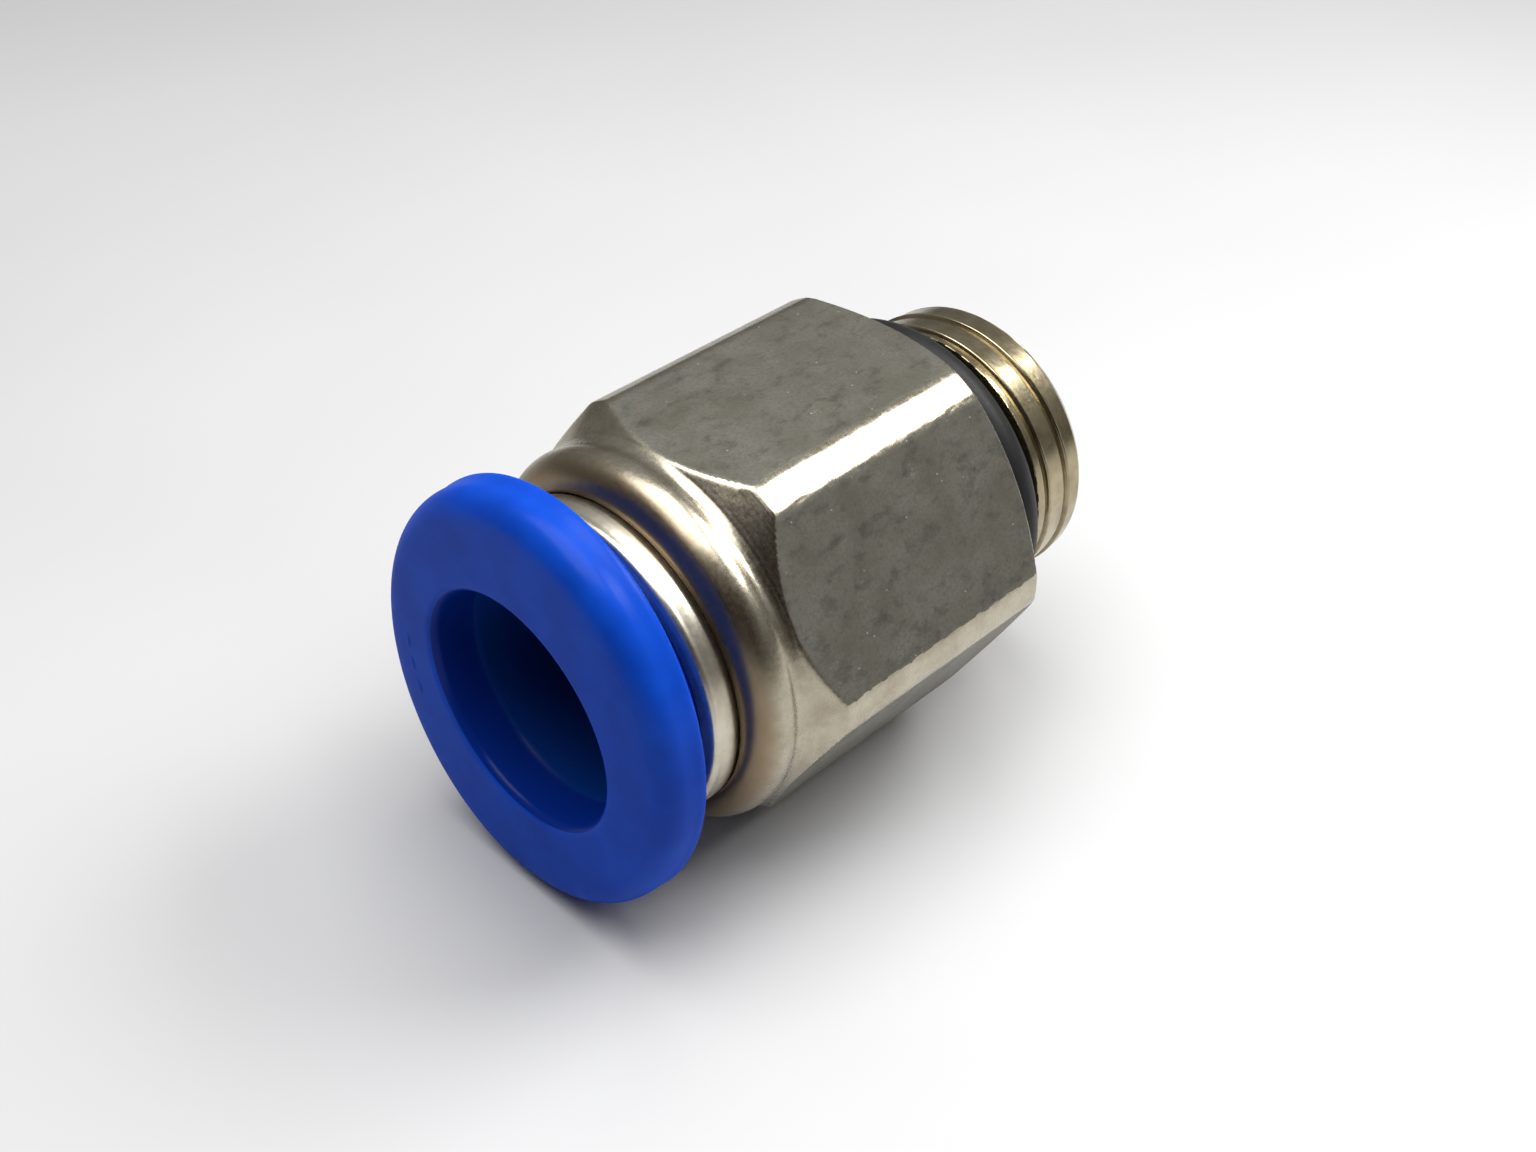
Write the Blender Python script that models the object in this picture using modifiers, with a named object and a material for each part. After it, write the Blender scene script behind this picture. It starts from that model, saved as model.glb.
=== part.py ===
"""Straight male push to connect fitting for 10 mm tube, with a G1/4 parallel thread.

Every turned piece is drawn about its own Z axis, with +Z towards the thread. The empty
fitting_axis then lays that axis along world +X, at the height where the flange of the
release button stands on Z = 0. Stations along the axis are millimetres from mid-length.
"""

import math

import bmesh
import bpy
from mathutils import Matrix, Vector

MM = 0.001

# Driving dimensions, in millimetres unless the name says otherwise.
HEX_ACROSS_FLATS = 17.0
THREAD_MAJOR_R = 6.55
THREAD_MINOR_R = 5.72
THREAD_PITCH = 1.337
CLAW_COUNT = 12
CLAW_REST_DEG = 50.0

FACE_Z = -14.0
THREAD_END_Z = 14.0

# Release button
FLANGE_MEAN_R = 9.4
FLANGE_LONG = 1.089
FLANGE_SHORT = 1.0 / FLANGE_LONG
FLANGE_TURN_DEG = 19.6
FLANGE_BACK_Z = -11.9
FLANGE_BACK_ROUND = 0.25
FACE_ROUND = 1.1
SLEEVE_R = 6.0
BARB_R = 6.35
NOSE_R = 5.33
NOSE_Z = -5.02
NOSE_CONE_END_Z = -6.15
MOUTH_R = 5.2
MOUTH_ROUND = 0.45
MOUTH_DEPTH = 2.0
SLEEVE_BORE_R = 5.08
SLOT_WIDTH = 0.9
SLOT_LENGTH = 14.0
SLOT_END_Z = -8.6

# Guide ring
RING_FACE_Z = -9.8
RING_R = 7.0
RING_LIP_R = 6.1
RING_LIP_END_Z = -7.2
COLLAR_R = 6.9
COLLAR_BORE_R = 6.45
COLLAR_END_Z = -4.45

# Body
NOSE_FACE_Z = -8.5
BEAD_R = 1.3
BEAD_Z = NOSE_FACE_Z + BEAD_R
BEAD_CENTRE_R = 7.1
BEAD_VALLEY_Z = -6.4
BEAD_VALLEY_R = 8.3
FRONT_CONE_Z = -6.15
FRONT_CONE_R = 8.455
HEX_CORNER_R = 9.45
HEX_FRONT_Z = -5.035
HEX_REAR_Z = 6.64
SEAT_Z = 7.6
SEAT_R = 8.08
UNDERCUT_R = 5.55
THREAD_START_Z = 10.1
THREAD_END_CHAMFER = 0.83
CLAW_BORE_R = 6.95
CLAW_SHOULDER_Z = -4.0
SEAL_BORE_R = 6.75
SEAL_SHOULDER_Z = 2.1
PILOT_R = 5.1
TUBE_STOP_Z = 5.45
FLOW_R = 4.0

# Claw ring
BAND_FRONT_Z = -4.40
BAND_REAR_Z = -4.10
BAND_R = 6.88
BAND_BORE_R = 6.4
CLAW_ROOT_R = 6.1
CLAW_TIP_R = 4.85
CLAW_THICK = 0.3
CLAW_ROOT_WIDTH = 2.2
CLAW_TIP_WIDTH = 1.9
CLAW_TIP_HOLLOW = 0.1

# Spacer ring and tube seal
SPACER_R = 6.7
SPACER_CUP_R = 6.4
SPACER_BORE_R = 5.12
SPACER_FRONT_Z = -4.05
SPACER_REAR_Z = -0.95
CUP_FLOOR_Z = -2.9
CUP_CONE_END_Z = -1.9
SEAL_R = 6.7
SEAL_LIP_R = 4.85
SEAL_FRONT_Z = -0.9
SEAL_REAR_Z = 2.0
SEAL_GROOVE_Z = 0.9

# Thread O-ring
O_RING_CENTRE_R = 6.7
O_RING_SECTION_R = 0.95
O_RING_Z = SEAT_Z + O_RING_SECTION_R + 0.05

OUTER_SEGMENTS = 48
INNER_SEGMENTS = 36
THREAD_SEGMENTS = 36


def clear_scene():
    for obj in list(bpy.data.objects):
        bpy.data.objects.remove(obj, do_unlink=True)


def new_collection(name):
    collection = bpy.data.collections.new(name)
    bpy.context.scene.collection.children.link(collection)
    return collection


def new_material(name, colour, roughness, metallic=0.0):
    material = bpy.data.materials.new(name)
    material.use_nodes = True
    shader = material.node_tree.nodes["Principled BSDF"]
    shader.inputs["Base Color"].default_value = (*colour, 1.0)
    shader.inputs["Roughness"].default_value = roughness
    shader.inputs["Metallic"].default_value = metallic
    return material


def arc(centre_r, centre_z, radius, start_deg, end_deg, steps):
    """Points (r, z) on an arc. 0 degrees points away from the axis, and 90 towards +Z."""
    points = []
    for i in range(steps + 1):
        angle = math.radians(start_deg + (end_deg - start_deg) * i / steps)
        points.append((centre_r + radius * math.cos(angle), centre_z + radius * math.sin(angle)))
    return points


def turned(name, profile, segments, collection, closed=True):
    """A profile of (r, z) points, down the outer side and up the inner one, turned about Z."""
    mesh = bpy.data.meshes.new(name)
    outline = bmesh.new()
    points = [outline.verts.new((r * MM, 0.0, z * MM)) for r, z in profile]
    last = len(points) if closed else len(points) - 1
    for i in range(last):
        outline.edges.new((points[i], points[(i + 1) % len(points)]))
    outline.to_mesh(mesh)
    outline.free()
    obj = bpy.data.objects.new(name, mesh)
    collection.objects.link(obj)
    screw = obj.modifiers.new("Turn", "SCREW")
    screw.axis = "Z"
    screw.angle = math.tau
    screw.steps = segments
    screw.render_steps = segments
    screw.use_merge_vertices = True
    screw.merge_threshold = 1e-6
    screw.use_smooth_shade = True
    return obj


def mesh_object(name, shape, collection):
    mesh = bpy.data.meshes.new(name)
    shape.to_mesh(mesh)
    shape.free()
    obj = bpy.data.objects.new(name, mesh)
    collection.objects.link(obj)
    return obj


def as_cutter(obj):
    obj.hide_render = True
    obj.display_type = "WIRE"
    return obj


def boolean(obj, other, operation, solver="EXACT"):
    modifier = obj.modifiers.new(f"{operation.title()} {other.name}", "BOOLEAN")
    modifier.operation = operation
    modifier.solver = solver
    modifier.object = other


def finish_piece(obj, material, axis_empty):
    obj.parent = axis_empty
    obj.data.materials.append(material)


def hex_prism(cutters):
    """A long hexagonal bar. Its flats face local X and every 60 degrees from there."""
    shape = bmesh.new()
    corner = HEX_ACROSS_FLATS / 2 / math.cos(math.radians(30)) * MM
    bmesh.ops.create_cone(
        shape,
        cap_ends=True,
        segments=6,
        radius1=corner,
        radius2=corner,
        depth=40 * MM,
    )
    return as_cutter(mesh_object("hex_bar", shape, cutters))


def thread_ridge(cutters):
    """The helical ridge of the thread, longer than the thread, then trimmed by thread_envelope."""
    root_r = THREAD_MINOR_R - 0.15
    half_base = THREAD_PITCH * 0.47
    half_crest = THREAD_PITCH * 0.1
    section = (
        (root_r, -half_base),
        (THREAD_MAJOR_R + 0.1, -half_crest),
        (THREAD_MAJOR_R + 0.1, half_crest),
        (root_r, half_base),
    )
    first_z = THREAD_START_Z - THREAD_PITCH
    turns = (THREAD_END_Z - THREAD_START_Z) / THREAD_PITCH + 2
    steps = math.ceil(turns * THREAD_SEGMENTS)
    shape = bmesh.new()
    rings = []
    for i in range(steps + 1):
        angle = math.tau * i / THREAD_SEGMENTS
        rise = first_z + THREAD_PITCH * i / THREAD_SEGMENTS
        rings.append(
            [
                shape.verts.new((r * math.cos(angle) * MM, r * math.sin(angle) * MM, (rise + z) * MM))
                for r, z in section
            ]
        )
    for ring, following in zip(rings, rings[1:]):
        for k in range(4):
            m = (k + 1) % 4
            shape.faces.new((ring[k], ring[m], following[m], following[k]))
    shape.faces.new(rings[0])
    shape.faces.new(rings[-1])
    bmesh.ops.recalc_face_normals(shape, faces=shape.faces)
    ridge = as_cutter(mesh_object("thread_ridge", shape, cutters))
    first_face = THREAD_START_Z + 0.08
    last_face = THREAD_END_Z - 0.02
    envelope = (
        (THREAD_MINOR_R - 0.05, last_face),
        (THREAD_MAJOR_R, last_face - THREAD_END_CHAMFER),
        (THREAD_MAJOR_R, THREAD_START_Z + 0.45),
        (UNDERCUT_R + 0.12, first_face),
        (UNDERCUT_R - 0.3, first_face),
        (UNDERCUT_R - 0.3, last_face),
    )
    trimming = as_cutter(turned("thread_envelope", envelope, THREAD_SEGMENTS * 2, cutters))
    boolean(ridge, trimming, "INTERSECT")
    return ridge


def make_body(parts, cutters):
    outer = [
        (THREAD_MINOR_R - 0.05, THREAD_END_Z),
        (THREAD_MINOR_R, THREAD_END_Z - 0.1),
        (THREAD_MINOR_R, THREAD_START_Z + 0.15),
        (UNDERCUT_R, THREAD_START_Z),
        (UNDERCUT_R, SEAT_Z + 0.2),
        (UNDERCUT_R + 0.2, SEAT_Z),
        (SEAT_R, SEAT_Z),
        (HEX_CORNER_R, HEX_REAR_Z),
        (HEX_CORNER_R, HEX_FRONT_Z),
        (FRONT_CONE_R, FRONT_CONE_Z),
        (BEAD_VALLEY_R, BEAD_VALLEY_Z),
    ]
    bead = arc(BEAD_CENTRE_R, BEAD_Z, BEAD_R, 25, -90, 9)
    inner = [
        (CLAW_BORE_R, NOSE_FACE_Z + 0.15),
        (CLAW_BORE_R, CLAW_SHOULDER_Z),
        (SEAL_BORE_R, CLAW_SHOULDER_Z),
        (SEAL_BORE_R, SEAL_SHOULDER_Z),
        (PILOT_R + 0.25, SEAL_SHOULDER_Z),
        (PILOT_R, SEAL_SHOULDER_Z + 0.3),
        (PILOT_R, TUBE_STOP_Z),
        (FLOW_R, TUBE_STOP_Z),
        (FLOW_R, THREAD_END_Z - 0.3),
        (FLOW_R + 0.3, THREAD_END_Z),
    ]
    body = turned("body", outer + bead + inner, OUTER_SEGMENTS, parts)
    boolean(body, hex_prism(cutters), "INTERSECT")
    boolean(body, thread_ridge(cutters), "UNION", solver="MANIFOLD")
    return body


def make_thread_o_ring(parts):
    section = arc(O_RING_CENTRE_R, O_RING_Z, O_RING_SECTION_R, 90, -240, 11)
    return turned("thread_o_ring", section, OUTER_SEGMENTS, parts)


def make_guide_ring(parts):
    profile = [
        (COLLAR_R - 0.1, COLLAR_END_Z),
        (COLLAR_R, COLLAR_END_Z - 0.15),
        (COLLAR_R, NOSE_FACE_Z - 0.05),
        (RING_R, NOSE_FACE_Z - 0.15),
        (RING_R - 0.02, NOSE_FACE_Z - 0.55),
        (RING_R - 0.12, NOSE_FACE_Z - 0.9),
        (RING_R - 0.3, RING_FACE_Z + 0.1),
        (RING_R - 0.5, RING_FACE_Z),
        (RING_LIP_R + 0.12, RING_FACE_Z),
        (RING_LIP_R, RING_FACE_Z + 0.12),
        (RING_LIP_R, RING_LIP_END_Z),
        (COLLAR_BORE_R, RING_LIP_END_Z + 0.05),
        (COLLAR_BORE_R, COLLAR_END_Z),
    ]
    return turned("guide_ring", profile, OUTER_SEGMENTS, parts)


def make_flange(cutters):
    """The oval flange as a solid disc, stretched across the axis. It is joined to the sleeve."""
    rounding = arc(FLANGE_MEAN_R - 0.05 - FACE_ROUND, FACE_Z + FACE_ROUND, FACE_ROUND, 0, -90, 7)
    profile = [
        (0.0, FLANGE_BACK_Z),
        (FLANGE_MEAN_R - FLANGE_BACK_ROUND, FLANGE_BACK_Z),
        (FLANGE_MEAN_R, FLANGE_BACK_Z - FLANGE_BACK_ROUND),
        (FLANGE_MEAN_R, FLANGE_BACK_Z - 2 * FLANGE_BACK_ROUND),
        *rounding,
        (0.0, FACE_Z),
    ]
    flange = as_cutter(turned("flange", profile, OUTER_SEGMENTS, cutters, closed=False))
    flange.scale = (FLANGE_LONG, FLANGE_SHORT, 1.0)
    flange.rotation_euler.z = math.radians(FLANGE_TURN_DEG)
    return flange


def slot_cutter(name, size_x, size_y, cutters):
    """A box across the axis that cuts two opposite slots in the sleeve, open at its nose."""
    height = NOSE_Z + 1.0 - SLOT_END_Z
    shape = bmesh.new()
    bmesh.ops.create_cube(shape, size=1.0)
    bmesh.ops.scale(shape, vec=(size_x * MM, size_y * MM, height * MM), verts=shape.verts)
    bmesh.ops.translate(shape, vec=(0, 0, (SLOT_END_Z + height / 2) * MM), verts=shape.verts)
    return as_cutter(mesh_object(name, shape, cutters))


def make_release_button(parts, cutters):
    inside_flange_z = FLANGE_BACK_Z - 0.6
    sleeve = [
        (0.0, NOSE_Z),
        (NOSE_R, NOSE_Z),
        (SLEEVE_R - 0.05, NOSE_CONE_END_Z),
        (BARB_R, RING_LIP_END_Z + 0.4),
        (BARB_R, RING_LIP_END_Z + 0.12),
        (SLEEVE_R, RING_LIP_END_Z + 0.1),
        (SLEEVE_R, inside_flange_z),
        (0.0, inside_flange_z),
    ]
    button = turned("release_button", sleeve, OUTER_SEGMENTS, parts, closed=False)
    past_face_z = FACE_Z - 0.2
    past_nose_z = NOSE_Z + 0.5
    mouth_rounding = arc(MOUTH_R + MOUTH_ROUND, FACE_Z + MOUTH_ROUND, MOUTH_ROUND, 180, 264, 5)
    bore = [
        (0.0, past_nose_z),
        (SLEEVE_BORE_R, past_nose_z),
        (SLEEVE_BORE_R, FACE_Z + MOUTH_DEPTH + 0.15),
        (MOUTH_R, FACE_Z + MOUTH_DEPTH),
        *mouth_rounding,
        (MOUTH_R + MOUTH_ROUND + 0.2, past_face_z),
        (0.0, past_face_z),
    ]
    bore_cutter = as_cutter(turned("button_bore", bore, OUTER_SEGMENTS, cutters, closed=False))
    boolean(button, make_flange(cutters), "UNION")
    boolean(button, bore_cutter, "DIFFERENCE")
    boolean(button, slot_cutter("slot_pair_a", SLOT_LENGTH, SLOT_WIDTH, cutters), "DIFFERENCE")
    boolean(button, slot_cutter("slot_pair_b", SLOT_WIDTH, SLOT_LENGTH, cutters), "DIFFERENCE")
    return button


def make_claw_ring(parts):
    profile = [
        (BAND_R, BAND_REAR_Z),
        (BAND_R, BAND_FRONT_Z),
        (BAND_BORE_R, BAND_FRONT_Z),
        (BAND_BORE_R, BAND_REAR_Z),
    ]
    return turned("claw_ring", profile, INNER_SEGMENTS, parts)


def claw_mesh():
    """One spring tongue: a flat tapered plate from its root at the origin along +Y, hollow at its tip."""
    length = (CLAW_ROOT_R - CLAW_TIP_R) / math.sin(math.radians(CLAW_REST_DEG))
    outline = [(-CLAW_ROOT_WIDTH / 2, 0.0), (CLAW_ROOT_WIDTH / 2, 0.0)]
    tip_steps = 6
    for i in range(tip_steps + 1):
        across = 1.0 - 2.0 * i / tip_steps
        hollow = CLAW_TIP_HOLLOW * (1.0 - across * across)
        outline.append((CLAW_TIP_WIDTH / 2 * across, length - hollow))
    shape = bmesh.new()
    shape.faces.new([shape.verts.new((x * MM, y * MM, 0.0)) for x, y in outline])
    mesh = bpy.data.meshes.new("claw")
    shape.to_mesh(mesh)
    shape.free()
    return mesh


def make_claws(parts, material, axis_empty):
    """The spring tongues, evenly round the claw ring, each with its origin on its bending line."""
    mesh = claw_mesh()
    mesh.materials.append(material)
    root_z = (BAND_FRONT_Z + BAND_REAR_Z) / 2
    lean = math.radians(CLAW_REST_DEG)
    for i in range(CLAW_COUNT):
        angle = math.tau * (i + 0.5) / CLAW_COUNT
        outward = Vector((math.cos(angle), math.sin(angle), 0.0))
        sideways = Vector((-math.sin(angle), math.cos(angle), 0.0))
        along = -math.sin(lean) * outward + math.cos(lean) * Vector((0.0, 0.0, 1.0))
        turn = Matrix((sideways, along, sideways.cross(along))).transposed().to_4x4()
        root = outward * CLAW_ROOT_R * MM + Vector((0.0, 0.0, root_z * MM))
        claw = bpy.data.objects.new(f"claw_{i + 1:02d}", mesh)
        parts.objects.link(claw)
        claw.parent = axis_empty
        claw.matrix_basis = Matrix.Translation(root) @ turn
        plate = claw.modifiers.new("Plate", "SOLIDIFY")
        plate.thickness = CLAW_THICK * MM
        plate.offset = 0.0


def make_spacer_ring(parts):
    profile = [
        (SPACER_R - 0.1, SPACER_REAR_Z),
        (SPACER_R, SPACER_REAR_Z - 0.1),
        (SPACER_R, SPACER_FRONT_Z),
        (SPACER_CUP_R, SPACER_FRONT_Z),
        (SPACER_CUP_R, CUP_FLOOR_Z),
        (SPACER_BORE_R + 0.1, CUP_CONE_END_Z),
        (SPACER_BORE_R, CUP_CONE_END_Z + 0.2),
        (SPACER_BORE_R, SPACER_REAR_Z),
    ]
    return turned("spacer_ring", profile, INNER_SEGMENTS, parts)


def make_tube_seal(parts):
    profile = [
        (SEAL_R - 0.1, SEAL_REAR_Z),
        (SEAL_R, SEAL_REAR_Z - 0.3),
        (SEAL_R, SEAL_FRONT_Z + 0.2),
        (SEAL_R - 0.2, SEAL_FRONT_Z),
        (SEAL_LIP_R + 0.5, SEAL_FRONT_Z),
        (SEAL_LIP_R + 0.32, SEAL_FRONT_Z + 0.3),
        (SEAL_LIP_R, SEAL_GROOVE_Z),
        (SEAL_LIP_R + 0.08, SEAL_REAR_Z - 0.2),
        (SEAL_LIP_R + 0.35, SEAL_REAR_Z),
        (SEAL_LIP_R + 0.75, SEAL_GROOVE_Z),
        (SEAL_LIP_R + 1.1, SEAL_GROOVE_Z),
        (SEAL_R - 0.45, SEAL_REAR_Z),
    ]
    return turned("tube_seal", profile, INNER_SEGMENTS, parts)


def flange_reach():
    """How far the oval flange reaches below the axis, in millimetres."""
    turn = math.radians(FLANGE_TURN_DEG)
    return FLANGE_MEAN_R * math.hypot(FLANGE_LONG * math.cos(turn), FLANGE_SHORT * math.sin(turn))


def main():
    clear_scene()
    parts = new_collection("push_to_connect_fitting")
    cutters = new_collection("cutters")

    axis_empty = bpy.data.objects.new("fitting_axis", None)
    parts.objects.link(axis_empty)
    axis_empty.rotation_euler.y = math.radians(90)
    axis_empty.location.z = flange_reach() * MM

    nickel = new_material("nickel_plate", (0.62, 0.60, 0.54), 0.22, 1.0)
    ring_nickel = new_material("ring_nickel", (0.72, 0.70, 0.66), 0.18, 1.0)
    blue = new_material("blue_acetal", (0.012, 0.055, 0.42), 0.42)
    steel = new_material("claw_steel", (0.6, 0.6, 0.6), 0.3, 1.0)
    acetal = new_material("spacer_acetal", (0.75, 0.73, 0.68), 0.5)
    nitrile = new_material("nitrile_rubber", (0.015, 0.015, 0.017), 0.55)

    finish_piece(make_body(parts, cutters), nickel, axis_empty)
    finish_piece(make_thread_o_ring(parts), nitrile, axis_empty)
    finish_piece(make_guide_ring(parts), ring_nickel, axis_empty)
    finish_piece(make_release_button(parts, cutters), blue, axis_empty)
    finish_piece(make_claw_ring(parts), steel, axis_empty)
    make_claws(parts, steel, axis_empty)
    finish_piece(make_spacer_ring(parts), acetal, axis_empty)
    finish_piece(make_tube_seal(parts), nitrile, axis_empty)
    for cutter in cutters.objects:
        cutter.parent = axis_empty


main()
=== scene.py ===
"""Looks of the push to connect fitting: finer pieces, procedural materials, light and camera.

Every turned piece is drawn about the fitting's axis, which runs along world +X at the height
where the CAD body has it. Profiles are (r, x) pairs in millimetres: r from the axis, and x along
it from mid-length, so the button's face is at x = -14 and the thread's end at x = +14.
"""

import math

import bmesh
import bpy
from mathutils import Matrix, Vector, noise


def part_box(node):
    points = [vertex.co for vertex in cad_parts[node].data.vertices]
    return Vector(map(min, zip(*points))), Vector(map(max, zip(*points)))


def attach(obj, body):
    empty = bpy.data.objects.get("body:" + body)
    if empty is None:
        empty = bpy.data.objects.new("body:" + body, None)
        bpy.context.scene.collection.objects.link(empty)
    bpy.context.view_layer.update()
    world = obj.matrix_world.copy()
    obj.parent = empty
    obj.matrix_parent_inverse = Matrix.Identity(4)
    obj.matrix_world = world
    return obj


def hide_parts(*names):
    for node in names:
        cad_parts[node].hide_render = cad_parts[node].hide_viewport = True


MM = 0.001

# Camera, from the photograph: it looks along the fitting from above its button.
CAMERA_AZIMUTH = -45.25
CAMERA_ELEVATION = 38.84
CAMERA_ROLL = 0.47
CAMERA_DISTANCE = 78.9
CAMERA_AIM = (-0.34, -0.34, -0.60)
CAMERA_LENS = 42.81

# Room: its light at the horizon, overhead, and on its dark side, behind the camera
ROOM_LOW = (0.16, 0.155, 0.145)
ROOM_HIGH = (0.46, 0.47, 0.49)
ROOM_DARK = (0.030, 0.022, 0.017)
DARK_SIDE = (-0.70, -0.40, 0.50)

# Soft boxes: place, point aimed at and size in millimetres, and power in watts
KEY_BOX = ((84, -48, 122), (0, 0, 8), (92, 66), 0.185)
TOP_BOX = ((-20, 10, 190), (0, 0, 0), (170, 170), 0.42)

FLOOR_HALF_SIZE = 600
FLOOR_GAP = 0.05

# Body, with its hexagon
SECTOR_DEG = 60
HEX_FLAT_R = 8.5
HEX_EDGE_ROUND = 0.14
CORNER_R = 9.45
CORNER_BAND_DEG = 4.1
EDGE_WEAR = 0.03
EDGE_WEAR_DEG = 1.6
FLAT_TOLERANCE = 0.016
NOSE_X = -8.5
# Painted dark reflection on the nose: full up to the first station, gone by the second
NOSE_SHADE_FULL_X = -8.35
NOSE_SHADE_END_X = -7.25
BEAD_R = 1.3
BEAD_CENTRE_R = 7.1
VALLEY = (8.30, -6.40)
CONE_START = (8.455, -6.15)
HEX_FRONT_X = -5.035
HEX_REAR_X = 6.64
SEAT = (8.08, 7.6)
UNDERCUT_R = 5.55
UNDERCUT_END_X = 10.12
CLAW_BORE_R = 6.95
CLAW_SHOULDER_X = -4.0
SEAL_BORE_R = 6.75
SEAL_SHOULDER_X = 2.1
PILOT_R = 5.1
TUBE_STOP_X = 5.45
FLOW_R = 4.0

# Thread
THREAD_START_X = 10.1
THREAD_END_X = 14.0
MAJOR_R = 6.55
MINOR_R = 5.72
PITCH = 1.337
FLANK_DEG = 27.5
LAND_HALF = 0.51
LAND_ROUND = 0.03
LAND_FALL = 0.07
ROOT_ROUND = 0.1
BURR_HEIGHT = 0.03
BURR_WIDTH = 0.03
START_R = UNDERCUT_R + 0.1
START_SLOPE = 2.2
END_CHAMFER_R = 6.2
END_CHAMFER_X = 13.72
END_CHAMFER_SLOPE = 0.75
END_RIM_R = MINOR_R - 0.03
THREAD_SHARP_DEG = 50
THREAD_COLUMNS = 288
ROWS_PER_PITCH = 48

# Release button
FACE_X = -14.0
FLANGE_R = 9.4
OVAL_LONG = 1.089
OVAL_TURN_DEG = 19.6
FLANGE_BACK_X = -11.9
FLANGE_BACK_ROUND = 0.2
FACE_ROUND = 1.12
MOUTH_ROUND = 0.48
MOUTH_R = 5.2
# Where the painted shade of the lead-in ends, inside the mouth
LEAD_END_X = -11.95
SLEEVE_R = 6.0
SLEEVE_BORE_R = 5.08
BARB_R = 6.35
NOSE_TIP_R = 5.33
BUTTON_SHARP_DEG = 38
NOSE_TIP_X = -5.02
SLOT_WIDTH = 0.9
SLOT_END_X = -8.6
BAR_R = 7.25
BAR_ANGLES = (70.0, 79.0, 88.0)
BAR_LENGTH_DEG = 6.8
BAR_HALF_WIDTH = 0.19
BAR_HEIGHT = 0.075
BAR_SINK = 0.03

# Guide ring and O-ring
RING_R = 7.0
RING_FACE_X = -9.8
RING_LIP_R = 6.1
RING_LIP_END_X = -7.2
COLLAR_R = 6.9
COLLAR_BORE_R = 6.45
COLLAR_END_X = -4.45
O_RING_R = 6.7
O_RING_SECTION_R = 0.95
O_RING_X = 8.6
O_RING_FLASH = 0.012
O_RING_FLASH_DEG = 4.0

# Seal, spacer and claw band, inside the body
SEAL_R = 6.7
SEAL_LIP_R = 4.85
SEAL_FRONT_X = -0.9
SEAL_BACK_X = 2.0
SPACER_BORE_R = 5.12
SPACER_FRONT_X = -4.05
SPACER_BACK_X = -0.95
CLAW_BAND_R = 6.88
CLAW_BAND_BORE_R = 6.4
CLAW_BAND_FRONT_X = -4.4
CLAW_BAND_BACK_X = -4.1

# Points round a turned piece, and round the ones deep inside
COLUMNS = 256
INNER_COLUMNS = 128

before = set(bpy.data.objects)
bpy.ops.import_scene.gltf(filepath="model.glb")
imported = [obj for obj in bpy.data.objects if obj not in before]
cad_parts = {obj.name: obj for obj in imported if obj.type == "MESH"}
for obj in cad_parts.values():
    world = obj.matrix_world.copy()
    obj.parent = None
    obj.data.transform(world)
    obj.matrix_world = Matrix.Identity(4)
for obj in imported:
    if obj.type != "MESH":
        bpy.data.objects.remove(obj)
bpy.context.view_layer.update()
body_low, body_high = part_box("body")
AXIS_Z = (body_low.z + body_high.z) / 2 / MM


# ---------------------------------------------------------------- shapes


def on_axis(r, angle, x):
    """A point at radius r and this angle round the axis, from straight down towards +Y."""
    return Vector((x, r * math.sin(angle), AXIS_Z - r * math.cos(angle))) * MM


def arc(centre_r, centre_x, radius, start_deg, end_deg, steps):
    """Profile points on an arc. 0 degrees points away from the axis, and 90 towards +X."""
    points = []
    for i in range(steps + 1):
        turn = math.radians(start_deg + (end_deg - start_deg) * i / steps)
        points.append((centre_r + radius * math.cos(turn), centre_x + radius * math.sin(turn)))
    return points


def finer(profile, low_x, high_x, step):
    """The profile with its segments that lie between two stations cut to at most this length."""
    points = []
    for start, end in zip(profile, profile[1:] + profile[:1]):
        points.append(start)
        inside = low_x <= min(start[1], end[1]) and max(start[1], end[1]) <= high_x
        pieces = math.ceil(math.dist(start, end) / step) if inside else 1
        for k in range(1, pieces):
            share = k / pieces
            r = start[0] + (end[0] - start[0]) * share
            x = start[1] + (end[1] - start[1]) * share
            points.append((r, x))
    return points


def soft_min(a, b, width):
    """The smaller of two values, with the corner between them rounded over this width."""
    near = max(width - abs(a - b), 0.0) / width
    return min(a, b) - near * near * width / 4


def soft_max(a, b, width):
    """The larger of two values, with the corner between them rounded over this width."""
    return -soft_min(-a, -b, width)


def even_angles(count):
    """This many angles, evenly round the axis."""
    return [math.tau * i / count for i in range(count)]


def hex_angles():
    """Angles round the hexagon: wide steps across each flat, and fine ones at the band edges."""
    wide, fine = 1.5, 0.25
    corner = SECTOR_DEG / 2
    edge = corner - CORNER_BAND_DEG
    half = [wide * i for i in range(16)]
    half += [edge - 7 * fine + fine * i for i in range(15)]
    half += [corner - wide, corner - wide / 2]
    sector = [-a for a in reversed(half[1:])] + half + [corner]
    return [math.radians(SECTOR_DEG * k + a) for k in range(6) for a in sector]


def off_flat(angle):
    """The angle from the middle of the nearest flat. One flat faces down, and one up."""
    sector = math.radians(SECTOR_DEG)
    return (angle + sector / 2) % sector - sector / 2


def hex_radius(angle):
    """How far the flats are from the axis in this direction."""
    return HEX_FLAT_R / math.cos(off_flat(angle))


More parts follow.
